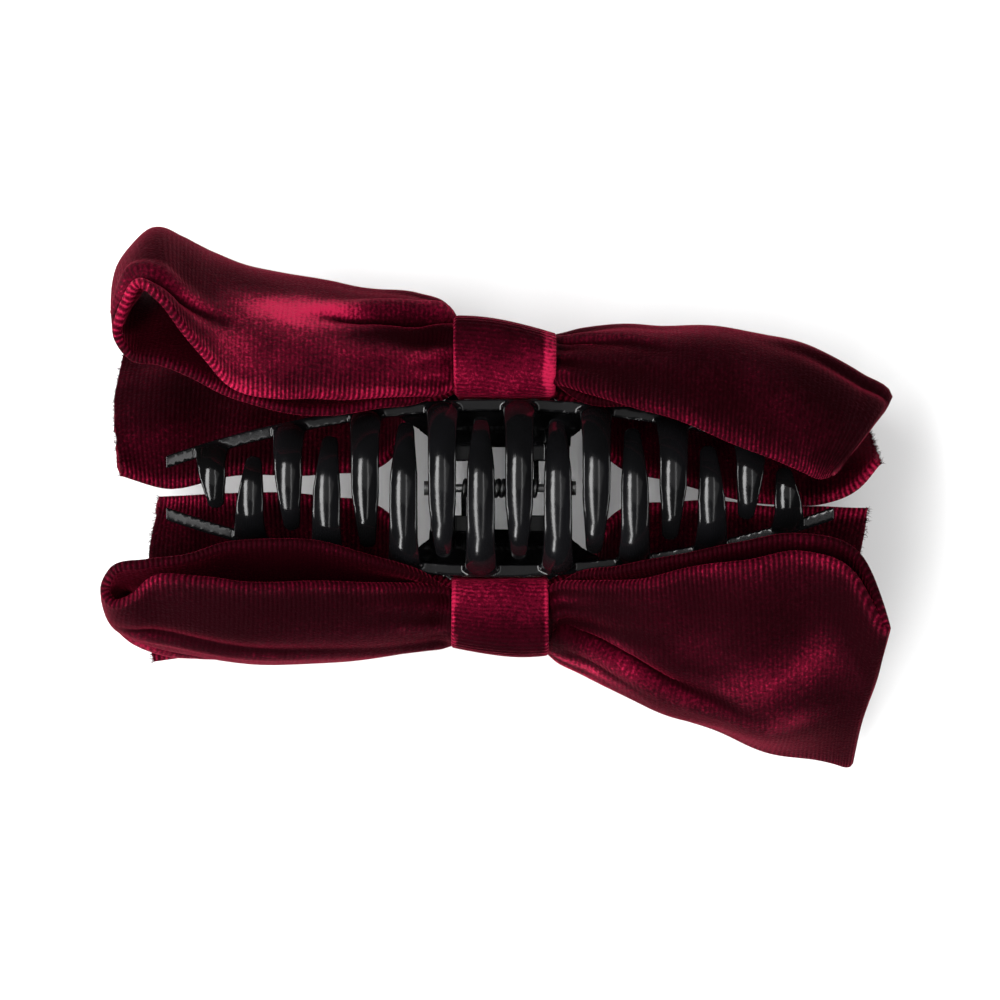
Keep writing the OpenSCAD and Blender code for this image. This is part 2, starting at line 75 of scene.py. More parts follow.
# Rows of a loop run out along its outer layer, round the end fold and back along its inner layer. A
# row crosses the ribbon from the top rim to the bottom rim, as [distance from the middle, distance
# outwards from the hinge axis, height above the lever ends], and the first and last lie in the band.
KNOT_OUT = [[6, 18, 29.8], [6, 24.6, 28.6], [6, 25.2, 18], [6, 24.6, 10.2]]
KNOT_IN = [[6, 20.5, 27.5], [6, 20.6, 22], [6, 20.8, 16], [6, 21, 10.6]]
LOOPS = {
    "back_left": [
        KNOT_OUT,
        [[9, 16.4, 32.2], [9, 24.4, 28.3], [9, 29.8, 19.6], [9, 27, 9.6]],
        [[13.9, 15.9, 35.5], [14, 23.8, 30.4], [14, 31.6, 20.5], [14, 30.8, 9]],
        [[20.6, 15.6, 40], [20.8, 25, 33], [20.8, 32.4, 20.5], [20.6, 32.6, 7.5]],
        [[29.4, 15.2, 44], [29.2, 25.5, 35], [29, 33.6, 20.5], [29, 35, 6.5]],
        [[37, 15.2, 45.5], [37.6, 25.5, 36], [38, 34.5, 20.5], [38.3, 36.6, 6]],
        [[43.6, 17, 45.7], [44, 26.5, 36.5], [44.5, 36, 21], [45, 38, 6]],
        [[48.1, 21.6, 45.2], [48.8, 29.5, 36.5], [49.5, 38, 21.5], [50.5, 40.2, 6.5]],
        [[52.2, 25.8, 44.5], [53.4, 33, 36.5], [54.6, 41, 22], [55.5, 42.2, 8]],
        [[56.6, 31, 43.2], [58, 37, 36], [59.5, 42.8, 23], [59.6, 42, 10]],
        [[59.8, 33.4, 41.3], [61.5, 37, 34], [62.8, 40, 23], [62, 39.5, 12]],
        [[62.4, 30.6, 40.3], [64, 33.8, 32], [65, 37, 23], [64, 37.6, 13]],
        [[63.7, 25.4, 40], [64.8, 29.6, 31.5], [65, 33.4, 22], [64, 34.6, 12]],
        [[61.2, 21.8, 41], [61.6, 26.8, 31.5], [61.6, 31.4, 21], [60.8, 34, 10]],
        [[56.5, 20.8, 41.5], [56.3, 26.2, 31.5], [56, 31.4, 20], [55.6, 35, 8]],
        [[49.5, 18, 41.8], [49, 24, 32], [48.8, 30, 20], [48.8, 34, 7]],
        [[44, 15.4, 42], [43, 21, 32], [42.5, 27, 20], [42.5, 31, 6.5]],
        [[36, 13, 42.3], [35.5, 18.8, 32], [35, 24, 20], [35, 28, 6.5]],
        [[28, 12.9, 41.3], [28, 18, 31.5], [28, 22.5, 20], [28, 25.5, 7]],
        [[20, 13.5, 38], [20, 17.4, 30], [20, 21.4, 19.5], [20, 24, 7.5]],
        [[13, 14.6, 33.8], [13, 17.4, 28], [13, 20.8, 19], [13, 22.5, 9]],
        KNOT_IN,
    ],
    "back_right": [
        KNOT_OUT,
        [[9.8, 17.6, 32.3], [9.8, 23, 27], [9.8, 25.2, 18.5], [9.6, 24, 9.8]],
        [[13.9, 16.3, 35.5], [14, 23, 28.5], [14, 26.2, 19], [14, 24.5, 9]],
        [[20.6, 14.3, 40], [21, 23, 31.5], [21.3, 26.9, 20.5], [21.3, 25, 7]],
        [[31, 10.8, 43.5], [32, 21.5, 35.5], [32.6, 26.6, 23], [33, 24.5, 6]],
        [[42, 6.3, 45.5], [43.5, 18.5, 37.8], [44.5, 25, 24.5], [45, 22, 6.5]],
        [[49.5, 3.4, 46], [52, 14.5, 39], [53.5, 22.3, 26], [53.5, 19.5, 7.5]],
        [[53.4, 2.2, 45.8], [58.5, 11, 39], [61, 18.2, 27], [60.5, 16.8, 9.5]],
        [[54.8, 3, 44.8], [61.2, 9.8, 37], [65.4, 15, 26.5], [64, 14.8, 12]],
        [[53.6, 4.6, 43.4], [59.6, 9.2, 35], [63.8, 12.4, 25.5], [62.4, 12.8, 13]],
        [[50, 6, 43], [54.5, 10.5, 34.5], [58, 13.4, 24.5], [57.5, 13.6, 11]],
        [[42, 8.6, 42.5], [46, 13.5, 33.5], [48, 16.8, 23.5], [48, 16.5, 9]],
        [[32, 12, 40.5], [34, 16.5, 32.5], [35, 19.5, 22], [35, 20, 8]],
        [[21, 14.2, 37], [22, 18, 30.5], [22, 20.8, 20.5], [22, 21.8, 8.5]],
        [[13, 15.6, 33], [13, 18, 28], [13, 20.6, 19], [13, 21.8, 9.5]],
        KNOT_IN,
    ],
    "front_left": [
        KNOT_OUT,
        [[9.6, 17, 32], [9.7, 23.8, 26.5], [9.7, 26.2, 18], [9.6, 24.5, 9.6]],
        [[14, 16.6, 35.5], [14, 24, 28.5], [14.2, 27, 18.5], [14.2, 25.2, 8.2]],
        [[20, 16.4, 39.5], [20.4, 24.6, 31], [20.8, 28, 19], [21, 26, 6.8]],
        [[29.5, 16.1, 42.5], [30, 25, 33], [30.5, 28.8, 20], [31, 26.5, 5.8]],
        [[41, 15.8, 44.3], [42, 25, 34.5], [43, 29, 21], [43.5, 27, 5.8]],
        [[50, 15, 44.5], [51, 24.3, 35], [52, 28.3, 21.5], [52.5, 27, 7.2]],
        [[57.5, 15.4, 43.4], [57.8, 23.2, 34.5], [58, 26.8, 22.5], [58.4, 25.5, 10]],
        [[60.6, 18, 41], [61.5, 22.8, 34.5], [61.8, 25, 23.5], [61.5, 23.5, 12]],
        [[64, 19.2, 38.6], [64.8, 21.5, 32], [65, 22.3, 24.5], [63.8, 21, 14.5]],
        [[65.6, 16.8, 39.2], [66, 18, 32], [65.8, 18.6, 25], [64.3, 18.5, 16.5]],
        [[63.8, 13.4, 41.8], [63.5, 15.8, 33], [62.5, 16.8, 25], [61.5, 18, 16]],
        [[58.5, 12.2, 42.8], [58.5, 16, 33.5], [58, 18, 24], [57.5, 20.5, 13]],
        [[51.3, 11.6, 43], [51.5, 16.5, 34], [51.5, 19, 23], [51.5, 21.8, 10.5]],
        [[43.9, 9.6, 42.8], [44, 16, 34], [44, 19.3, 22.5], [44, 22.2, 9.8]],
        [[33, 9, 42], [33.5, 16, 34], [34, 19.3, 22], [34, 22.2, 9.6]],
        [[24.5, 10.6, 40.5], [25, 16.8, 32.5], [25, 19.4, 21], [25, 21.8, 9]],
        [[16.5, 12.8, 37.5], [16.5, 17.2, 30.5], [16.5, 19.8, 20.5], [16.5, 22, 9.2]],
        [[11.5, 15.2, 33], [11.5, 18, 28], [11.5, 20.4, 19.5], [11.5, 21.8, 9.6]],
        KNOT_IN,
    ],
    "front_right": [
        KNOT_OUT,
        [[9.6, 16.3, 32], [9.8, 22, 28.2], [9.8, 28, 20], [9.6, 26.5, 9.6]],
        [[14, 16, 35.5], [14.3, 22.5, 28.5], [14.4, 30, 20.5], [14.2, 30.5, 9]],
        [[21.6, 15.8, 39.5], [22, 24.5, 33], [22.6, 34, 23], [22.5, 35, 8.5]],
        [[29.8, 14, 42.5], [31, 25.5, 35], [32, 37.5, 24.5], [31.5, 39, 8.5]],
        [[40, 12.4, 44.5], [41.2, 25.5, 36.5], [42.8, 39.5, 25.5], [42.6, 43.2, 9.5]],
        [[50.2, 11.4, 45.2], [50.9, 24.5, 35.5], [51.5, 38.5, 25], [52.2, 45.6, 9.5]],
        [[58.4, 14.3, 44.5], [58.4, 26, 34], [58, 38, 22.5], [58.6, 46.8, 8]],
        [[63.6, 23, 42], [62.8, 30.5, 32], [61.4, 39, 20], [61, 47, 7]],
        [[62.2, 17.5, 43], [61.2, 26, 32], [60, 35.5, 19.5], [59.4, 44, 8]],
        [[58.6, 11, 43.8], [57.5, 21.5, 32.5], [56.5, 32.5, 20], [55, 42, 9]],
        [[48.2, 7.9, 44], [48.5, 19.5, 33], [48.5, 30.5, 21], [48, 39.5, 9.5]],
        [[39.1, 9.8, 43.2], [40, 19.5, 33], [40, 29, 21], [40, 36.5, 9.5]],
        [[29, 11.6, 41.2], [30, 18.5, 32], [30, 26, 21], [30, 32, 9.3]],
        [[20, 13.4, 38], [21, 17.5, 31], [21, 23, 20.5], [21, 27.5, 9.3]],
        [[13, 14.6, 33.5], [13, 17, 28], [13, 20.8, 19.5], [13, 23.5, 9.8]],
        KNOT_IN,
    ],
}
# Pleats of a loop: [from x, to x, share of the width at the start, and at the end, depth, lip]. The
# cloth dips in by the depth on the top rim's side and rolls out by the lip on the other.
PLEATS = {
    "back_left": [[7, 36, 0.53, 0.38, 3.4, 2.4], [65, 41, 0.1, 0.34, 2, 1]],
    "back_right": [[7, 34, 0.42, 0.3, 1.0, 0.5], [64, 40, 0.6, 0.5, 0.9, 0.6]],
    "front_left": [[64, 8, 0.36, 0.44, 0.8, 0.8], [64, 38, 0.62, 0.8, 1.1, 0.7]],
    "front_right": [[7, 48, 0.39, 0.68, 2.6, 1.4]],
}

# Painted highlights and painted shadows on a loop, where it is lit or in shade: [x, share of the width
# from the top rim, reach in x, reach in share, how much lighter]
PAINTED_LIGHT_PATCHES = {
    "back_left": [
        [34, 0.4, 11, 0.12, 0.75],
        [45, 0.16, 9, 0.16, 0.4],
        [22, 0.2, 12, 0.2, 0.25],
        # painted shadow in the hollow beside the pleat
        [14, 0.37, 10, 0.13, -0.9],
        [14, 0.56, 10, 0.06, 0.3],
        [56, 0.4, 5, 0.2, -0.2],
        [12, 0.05, 7, 0.3, 0.2],
    ],
    "back_right": [
        # painted shade over the whole loop
        [32, 0.5, 90, 3, -0.15],
        [30, 0.5, 16, 0.22, 0.3],
        [14, 0.75, 8, 0.15, -0.2],
        [52, 0.6, 8, 0.3, -0.3],
        [44, 0.2, 12, 0.12, 0.2],
    ],
    "front_left": [
        # painted shade over the whole loop
        [32, 0.5, 90, 3, -0.14],
        [30, 0.3, 14, 0.14, 0.22],
        [50, 0.35, 9, 0.2, -0.2],
        [56, 0.75, 9, 0.2, 0.3],
        [16, 0.5, 7, 0.3, -0.1],
    ],
    "front_right": [
        # painted shade over the whole loop
        [32, 0.5, 90, 3, -0.12],
        [14, 0.72, 12, 0.2, 0.5],
        [32, 0.3, 6, 0.08, 0.25],
        [45, 0.45, 9, 0.1, 0.42],
        [54, 0.34, 5, 0.12, 0.38],
        [49, 0.66, 6, 0.08, 0.38],
        [12, 0.35, 8, 0.12, -0.15],
    ],
}

# Rows of a tail run from inside the band to its raw end. They are written as the rows of a loop are,
# and all tails start with the same ones.
TAIL_ROOT = [
    [[6, 18.3, 27.5], [6, 18.3, 22], [6, 18.3, 16], [6, 18.5, 10.2]],
    [[8.9, 15.9, 26], [9.4, 16.8, 21.6], [10, 18.2, 15], [10.1, 19.6, 8]],
    [[13.8, 13.4, 23.9], [13.8, 15.2, 20], [13.7, 17.8, 13.5], [13.6, 20.6, 5.8]],
    [[18.4, 5.8, 24], [18.7, 11.9, 19.6], [18.9, 16.9, 12.8], [19, 21.2, 4.6]],
]
TAILS = {
    "back_left": [
        [[30, 3.2, 24.3], [30, 9.8, 21], [30, 16, 13.5], [30, 23, 3.2]],
        [[46, 2.6, 25], [46, 9.2, 21.8], [46, 16.5, 13.5], [46, 25, 2.7]],
        [[56, 0.6, 25.5], [56.5, 8.4, 22.6], [57, 16.5, 14.5], [57, 25.4, 3]],
        [[63.4, 2.8, 26.5], [64.8, 9.5, 22.2], [65.4, 17, 14], [64.5, 25, 3.2]],
    ],
    "back_right": [
        [[30, 1.6, 24.3], [30, 7, 20.8], [30, 12.5, 13], [30, 18, 4]],
        [[46, -2, 25.6], [46, 4, 22.3], [46, 9.4, 13.8], [46, 14, 3.8]],
        [[54, -2, 26.6], [54, 3, 23], [54, 7.6, 14.5], [54, 11.5, 4.5]],
        [[59.4, 0.6, 27.4], [59.4, 3.8, 22.8], [59.4, 7.2, 14.8], [59.4, 10.4, 5.6]],
        [[63.2, 4.6, 27], [63.4, 6, 22], [63.4, 8, 15.5], [63, 10, 7.5]],
    ],
    "front_left": [
        [[30, 1.9, 24.3], [30, 8.7, 20.5], [30, 15, 12.5], [30, 22, 2.6]],
        [[46, 1.7, 25], [46, 8.7, 20.5], [46, 17, 11.5], [46, 27.4, 2.2]],
        [[57, 2.2, 26], [58.6, 8, 21.5], [60, 17, 12], [60.6, 29.4, 2.2]],
    ],
    "front_right": [
        [[30, 3, 24.3], [30, 9.5, 20.8], [30, 17, 13], [30, 25, 3.4]],
        [[46, 3.8, 25], [46, 10, 21.8], [46, 18.5, 13.5], [46, 28, 3.2]],
        [[61.4, 4, 26.4], [60.4, 10.5, 22.5], [61, 19, 14], [61.5, 28, 4.2]],
    ],
}


# ---- Curves and surfaces ----


def spline(keys, at, samples):
    """Values at samples on a smooth curve through keys, an array whose first axis runs along at."""
    keys, at = np.asarray(keys, float), np.asarray(at, float)
    step = np.diff(at)
    shape = (-1, *[1] * (keys.ndim - 1))
    slope = np.diff(keys, axis=0) / step.reshape(shape)
    tangent = np.empty_like(keys)
    tangent[0], tangent[-1] = slope[0], slope[-1]
    w = (step[1:] / (step[1:] + step[:-1])).reshape(shape)
    tangent[1:-1] = slope[:-1] * w + slope[1:] * (1 - w)
    i = np.clip(np.searchsorted(at, samples, side="right") - 1, 0, len(step) - 1)
    h = step[i].reshape(shape)
    u = ((samples - at[i]) / step[i]).reshape(shape)
    a, b = keys[i], keys[i + 1]
    ta, tb = tangent[i] * h, tangent[i + 1] * h
    return (
        a * (2 * u**3 - 3 * u**2 + 1)
        + ta * (u**3 - 2 * u**2 + u)
        + b * (3 * u**2 - 2 * u**3)
        + tb * (u**3 - u**2)
    )


def distances(points):
    """Running distance along a line of points."""
    steps = np.linalg.norm(np.diff(points, axis=0), axis=1)
    return np.concatenate([[0], np.cumsum(steps)])


def smooth(low, high, x):
    """A ramp from 0 at low to 1 at high, flat at both ends."""
    t = np.clip((x - low) / (high - low), 0, 1)
    return t * t * (3 - 2 * t)


def normals_of(grid):
    """Unit normals of a grid of points, from its two directions."""
    along, across = np.gradient(grid, axis=0), np.gradient(grid, axis=1)
    n = np.cross(along, across)
    return n / np.maximum(np.linalg.norm(n, axis=2, keepdims=True), 1e-9)


def cloth_grid(rows, step):
    """A fine grid through the rows, with the running lengths along and across it."""
    rows = np.array(rows, float)
    middle = rows.mean(1)
    at = distances(middle)
    s = np.linspace(0, at[-1], int(at[-1] / step) + 1)
    coarse = spline(rows, at, s)
    share = np.linspace(0, 1, int(RIBBON_W / step) + 1)
    width = distances(rows.mean(0))
    grid = spline(coarse.transpose(1, 0, 2), width / width[-1], share)
    return grid.transpose(1, 0, 2), s, share


def pleat(grid, share, pleats):
    """Tucks the outer layer of a loop: a dip beside a rolled lip, which fade out along the pleat."""
    n = normals_of(grid)
    across = np.gradient(grid, axis=1)
    across /= np.linalg.norm(across, axis=2, keepdims=True)
    x = grid[:, :, 0].mean(1)
    outer = np.arange(len(x)) <= np.argmax(x)
    for x0, x1, t0, t1, depth, lip in pleats:
        run = (x - x0) / (x1 - x0)
        fade = smooth(0, 0.12, run) * (1 - smooth(0.2, 1, run)) * outer
        at = t0 + (t1 - t0) * np.clip(run, 0, 1)
        d = (share[None, :] - at[:, None]) * RIBBON_W
        dip = -depth * np.exp(-(((d + 1.6) / 2.6) ** 2))
        roll = lip * np.exp(-(((d - 1.0) / 2.0) ** 2))
        pull = -0.7 * lip * np.exp(-(((d - 0.6) / 1.6) ** 2))
        grid = grid + n * ((dip + roll) * fade[:, None])[:, :, None]
        grid = grid + across * (pull * fade[:, None])[:, :, None]
    return grid


def gather(grid, share, seed, size):
    """The small folds that the band pinches into the cloth, which open out away from it."""
    draw = np.random.default_rng(seed)
    n = normals_of(grid)
    x = grid[:, :, 0].mean(1)
    wave = np.zeros(grid.shape[:2])
    for folds in (3.2, 5.1, 7.4):
        phase, drift = draw.uniform(0, 2 * math.pi), draw.uniform(-0.05, 0.05)
        reach = draw.uniform(9, 15)
        fade = np.exp(-np.maximum(x - 10, 0) / reach) * smooth(6.5, 11, x)
        turn = 2 * math.pi * folds * share[None, :] + phase + drift * x[:, None]
        wave += np.sin(turn) * fade[:, None] * 3.2 / folds
    return grid + n * (wave * size)[:, :, None]


def ripple(grid, s, share, seed, size):
    """Slow waves in hand-tied cloth: a few sines of random phase that fade out in the band."""
    draw = np.random.default_rng(seed)
    n = normals_of(grid)
    wave = np.zeros(grid.shape[:2])
    for _ in range(7):
        along, wide = draw.uniform(0.1, 0.42), draw.uniform(-4, 4)
        phase = draw.uniform(0, 2 * math.pi)
        wave += np.sin(along * s[:, None] + wide * share[None, :] + phase)
    ends = smooth(8, 22, np.minimum(s, s[-1] - s + 14))
    return grid + n * (wave * size / 2.6 * ends[:, None])[:, :, None]


def skin(grid, n, out, lower):
    """A closed skin round a grid with normals n: its outer side, the rim towards out, its inner side
    and the rim towards lower."""
    half = RIBBON_T / 2
    turn = np.linspace(0, math.pi, RIM_STEPS + 1)[1:-1]
    columns = range(grid.shape[1])
    sections = [grid[:, j] + n[:, j] * half for j in columns]
    sections += [grid[:, -1] + half * (n[:, -1] * math.cos(a) + out * math.sin(a)) for a in turn]
    sections += [grid[:, j] - n[:, j] * half for j in reversed(columns)]
    sections += [grid[:, 0] + half * (-n[:, 0] * math.cos(a) + lower * math.sin(a)) for a in turn]
    return np.stack(sections, axis=1)


def thicken(grid):
    """The skin of a cloth grid, with rims that carry on from its edges."""
    out, lower = grid[:, -1] - grid[:, -2], grid[:, 0] - grid[:, 1]
    out = out / np.linalg.norm(out, axis=1, keepdims=True)
    lower = lower / np.linalg.norm(lower, axis=1, keepdims=True)
    return skin(grid, normals_of(grid), out, lower)


def painted_light_of(grid, share, patches, inner):
    """Painted light over a grid: its patches of painted highlight and shadow, a painted highlight on
    ridges and rims and painted shade in folds. Past the end fold it is darker by inner, painted shade
    on the inner layer."""
    x = grid[:, :, 0]
    n = normals_of(grid)
    bend = np.gradient(n, axis=1) * np.gradient(grid, axis=1)
    bend = bend.sum(2) / np.maximum((np.gradient(grid, axis=1) ** 2).sum(2), 1e-9)
    # painted highlight on ridges and painted shade in folds, from the bend across the cloth
    grid_values = 0.32 + np.clip(bend * 0.9, -0.3, 0.3)
    wide = np.broadcast_to(share[None, :], x.shape)
    for at, t, reach, spread, light in patches:
        far = ((x - at) / reach) ** 2 + ((wide - t) / spread) ** 2
        grid_values = grid_values + light * np.exp(-far)
    rim = np.minimum(wide, 1 - wide) * RIBBON_W
    # painted sheen along the rims
    grid_values = grid_values + 0.2 * np.exp(-((rim / 1.3) ** 2))
    # painted shade on the inner layer, past the end fold
    run = np.arange(len(x)) - np.argmax(x.mean(1))
    return grid_values - (inner * smooth(0, 10, run))[:, None]


def around(grid_values):
    """The values of a grid over its skin."""
    top, bottom = [grid_values[:, -1]] * (RIM_STEPS - 1), [grid_values[:, 0]] * (RIM_STEPS - 1)
    columns = [grid_values[:, j] for j in range(grid_values.shape[1])]
    return np.stack(columns + top + columns[::-1] + bottom, axis=1)


def tube_rings(path, radius, sides):
    """Rings of points about a path, each square to it."""
    path = np.asarray(path, float)
    way = np.gradient(path, axis=0)
    way /= np.linalg.norm(way, axis=1, keepdims=True)
    n = np.cross(way, [1.0, 0, 0])
    n /= np.linalg.norm(n, axis=1, keepdims=True)
    b = np.cross(way, n)
    turn = np.linspace(0, 2 * math.pi, sides, endpoint=False)
    rings = [path + radius * (n * math.cos(a) + b * math.sin(a)) for a in turn]
    return np.stack(rings, axis=1)


def tube_faces(rings, sides, first=0, closed=False):
    """Faces between rings of points, with both ends capped, or joined if closed. The first point's
    number is first."""
    faces = []
    for i in range(rings if closed else rings - 1):
        here, there = first + i * sides, first + (i + 1) % rings * sides
        for k in range(sides):
            after = (k + 1) % sides
            faces.append([here + k, here + after, there + after, there + k])
    if closed:
        return faces
    last = first + (rings - 1) * sides
    return faces + [list(range(first, first + sides))[::-1], list(range(last, last + sides))]


def placed(points, side, mirrored=False):
    """Points in a bow's own millimetres put on their side of the claw, and on its left if mirrored."""
    points = np.array(points, float).reshape(-1, 3)
    if mirrored:
        points[:, 0] *= -1
    points[:, 1] = HINGE_Y + SIDE[side] * points[:, 1]
    return points


def make_object(name, points, faces, cloth=None, ribs=None):
    """A smooth mesh object; cloth and ribs are what velvet_material reads at each point."""
    mesh = bpy.data.meshes.new(name)
    mesh.from_pydata([tuple(p) for p in points], [], faces)
    if cloth is not None:
        attribute = mesh.attributes.new("cloth", "FLOAT_VECTOR", "POINT")
        attribute.data.foreach_set("vector", np.asarray(cloth, np.float32).ravel())
        attribute = mesh.attributes.new("ribs", "FLOAT", "POINT")
        shown = np.zeros(len(points)) if ribs is None else ribs
        attribute.data.foreach_set("value", np.asarray(shown, np.float32).ravel())
    mesh.validate()
    mesh.polygons.foreach_set("use_smooth", [True] * len(mesh.polygons))
    obj = bpy.data.objects.new(name, mesh)
    bpy.context.scene.collection.objects.link(obj)
    return obj


def skin_object(name, tube, s, grid_values, side, mirrored):
    """A piece of cloth from the rings of its skin, at distances s along it."""
    rings, n = tube.shape[:2]
    across = distances(tube[rings // 2])
    cloth = np.zeros((rings, n, 3))
    cloth[:, :, 0] = s[:, None] * MM
    cloth[:, :, 1] = across[None, :] * MM
    # the third value is painted light: painted highlights and shade
    cloth[:, :, 2] = grid_values
    share = np.linspace(0, 1, n // 2 - (RIM_STEPS - 1))
    edge = np.minimum(share, 1 - share) * RIBBON_W
    ribs = around((0.28 + 0.72 * np.exp(-((edge / 3.0) ** 2)))[None, :].repeat(rings, 0))
    faces = tube_faces(rings, n)
    if mirrored != (side == "front"):
        faces = [f[::-1] for f in faces]
    points = placed(tube, side, mirrored)
    return make_object(name, points * MM, faces, cloth.reshape(-1, 3), ribs)


# ---- Materials ----


def new_material(name):
    """A material, its nodes and its shader."""
    material = bpy.data.materials.new(name)
    material.use_nodes = True
    tree = material.node_tree
    return material, tree, tree.nodes["Principled BSDF"]


def add(tree, kind, **values):
    """A node with these inputs or settings."""
    node = tree.nodes.new(kind)
    for key, value in values.items():
        if key in node.inputs:
            node.inputs[key].default_value = value
        else:
            setattr(node, key, value)
    return node


def ramp(tree, source, stops):
    """The colour that a value has on a ramp of (place, colour) stops."""
    node = tree.nodes.new("ShaderNodeValToRGB")
    while len(node.color_ramp.elements) < len(stops):
        node.color_ramp.elements.new(0.5)
    for element, (place, colour) in zip(node.color_ramp.elements, stops):
        element.position = place
        element.color = (*colour, 1)
    tree.links.new(source, node.inputs[0])
    return node.outputs[0]


def velvet_material(name, stops, speckle, ribs_shown):
    """Ribbed velvet: wales, a speckled pile, and painted highlights and painted shade from the cloth
    attribute's third value.
    """
    material, tree, shader = new_material(name)
    link = tree.links.new
    cloth = add(tree, "ShaderNodeAttribute", attribute_name="cloth")
    parts = add(tree, "ShaderNodeSeparateXYZ")
    link(cloth.outputs["Vector"], parts.inputs[0])
    place = add(tree, "ShaderNodeTexCoord")
    lay = add(tree, "ShaderNodeTexNoise", Scale=75.0, Detail=3.0, Roughness=0.55)
    pile = add(tree, "ShaderNodeTexNoise", Scale=1900.0, Detail=2.0, Roughness=0.75)
    link(place.outputs["Object"], lay.inputs["Vector"])
    link(place.outputs["Object"], pile.inputs["Vector"])
    wales = add(tree, "ShaderNodeTexWave", Scale=2 * math.pi / (WALE * MM * 20), Distortion=0.0)
    wales.bands_direction = "X"
    link(cloth.outputs["Vector"], wales.inputs["Vector"])
    shown = add(tree, "ShaderNodeAttribute", attribute_name="ribs")
    ribbed = add(tree, "ShaderNodeMath", operation="MULTIPLY")
    link(wales.outputs["Fac"], ribbed.inputs[0])
    link(shown.outputs["Fac"], ribbed.inputs[1])

    def plus(value, source, amount):
        """The value with so much of a source, less its middle, added."""
        node = add(tree, "ShaderNodeMath", operation="MULTIPLY_ADD")
        link(source, node.inputs[0])
        node.inputs[1].default_value = amount
        shift = add(tree, "ShaderNodeMath", operation="SUBTRACT")
        link(value, shift.inputs[0])
        shift.inputs[1].default_value = amount / 2
        link(shift.outputs[0], node.inputs[2])
        return node.outputs[0]

    # painted light from the cloth attribute, with random tone from the lay noise
    light = plus(parts.outputs["Z"], lay.outputs["Fac"], 0.7)
    light = plus(light, pile.outputs["Fac"], speckle)
    light = plus(light, ribbed.outputs[0], ribs_shown)
    link(ramp(tree, light, stops), shader.inputs["Base Color"])
    rough = ramp(tree, pile.outputs["Fac"], [(0.3, (0.55,) * 3), (0.7, (0.8,) * 3)])
    link(rough, shader.inputs["Roughness"])
    ribs = add(tree, "ShaderNodeBump", Strength=0.9, Distance=0.0002)
    link(ribbed.outputs[0], ribs.inputs["Height"])
    fuzz = add(tree, "ShaderNodeBump", Strength=0.8, Distance=0.00018)
    link(pile.outputs["Fac"], fuzz.inputs["Height"])
    link(ribs.outputs["Normal"], fuzz.inputs["Normal"])
    link(fuzz.outputs["Normal"], shader.inputs["Normal"])
    shader.inputs["Sheen Weight"].default_value = 0.36
    shader.inputs["Sheen Roughness"].default_value = 0.3
    shader.inputs["Sheen Tint"].default_value = (0.8, 0.03, 0.1, 1)
    shader.inputs["Specular IOR Level"].default_value = 0.12
    shader.inputs["Specular Tint"].default_value = (1.0, 0.05, 0.14, 1)
    return material


def plastic_material():
    """Moulded black plastic, glossy, with slow flow waves and a trace of dust."""
    material, tree, shader = new_material("gloss_black_plastic")
    link = tree.links.new
    place = add(tree, "ShaderNodeTexCoord")
    flow = add(tree, "ShaderNodeTexNoise", Scale=55.0, Detail=3.0, Roughness=0.6)
    dust = add(tree, "ShaderNodeTexNoise", Scale=1500.0, Detail=1.0)
    link(place.outputs["Object"], flow.inputs["Vector"])
    link(place.outputs["Object"], dust.inputs["Vector"])
    tone = ramp(tree, flow.outputs["Fac"], [(0.3, (0.002,) * 3), (0.75, (0.005, 0.005, 0.006))])
    link(tone, shader.inputs["Base Color"])
    rough = ramp(tree, flow.outputs["Fac"], [(0.35, (0.1,) * 3), (0.75, (0.2,) * 3)])
    link(rough, shader.inputs["Roughness"])
    wave = add(tree, "ShaderNodeBump", Strength=0.25, Distance=0.0004)
    link(flow.outputs["Fac"], wave.inputs["Height"])
    grain = add(tree, "ShaderNodeBump", Strength=0.02, Distance=0.00005)
    link(dust.outputs["Fac"], grain.inputs["Height"])
    link(wave.outputs["Normal"], grain.inputs["Normal"])
    link(grain.outputs["Normal"], shader.inputs["Normal"])
    shader.inputs["Specular IOR Level"].default_value = 0.44
    return material


def steel_material(name, dark, bright):
    """Wire with fine draw lines along X."""
    material, tree, shader = new_material(name)
    link = tree.links.new
    place = add(tree, "ShaderNodeTexCoord")
    stretch = add(tree, "ShaderNodeMapping", Scale=(120.0, 2600.0, 2600.0))
    link(place.outputs["Object"], stretch.inputs["Vector"])
    draw = add(tree, "ShaderNodeTexNoise", Scale=1.0, Detail=3.0)
    link(stretch.outputs["Vector"], draw.inputs["Vector"])
    link(ramp(tree, draw.outputs["Fac"], [(0.3, dark), (0.7, bright)]), shader.inputs["Base Color"])
    rough = ramp(tree, draw.outputs["Fac"], [(0.3, (0.28,) * 3), (0.7, (0.45,) * 3)])
    link(rough, shader.inputs["Roughness"])
    bump = add(tree, "ShaderNodeBump", Strength=0.2, Distance=0.00003)
    link(draw.outputs["Fac"], bump.inputs["Height"])
    link(bump.outputs["Normal"], shader.inputs["Normal"])
    shader.inputs["Metallic"].default_value = 1.0
    return material


def glue_material():
    """Cloudy, slightly see-through glue."""
    material, tree, shader = new_material("set_hot_glue")
    link = tree.links.new
    place = add(tree, "ShaderNodeTexCoord")
    cloud = add(tree, "ShaderNodeTexNoise", Scale=160.0, Detail=3.0)
    link(place.outputs["Object"], cloud.inputs["Vector"])
    tone = ramp(tree, cloud.outputs["Fac"], [(0.3, (0.5, 0.46, 0.36)), (0.7, (0.72, 0.69, 0.6))])
    link(tone, shader.inputs["Base Color"])
    bump = add(tree, "ShaderNodeBump", Strength=0.3, Distance=0.0003)
    link(cloud.outputs["Fac"], bump.inputs["Height"])
    link(bump.outputs["Normal"], shader.inputs["Normal"])
    rough = ramp(tree, cloud.outputs["Fac"], [(0.3, (0.25,) * 3), (0.7, (0.4,) * 3)])
    link(rough, shader.inputs["Roughness"])
    shader.inputs["Subsurface Weight"].default_value = 0.3
    shader.inputs["Subsurface Radius"].default_value = (0.002, 0.0015, 0.001)
    return material


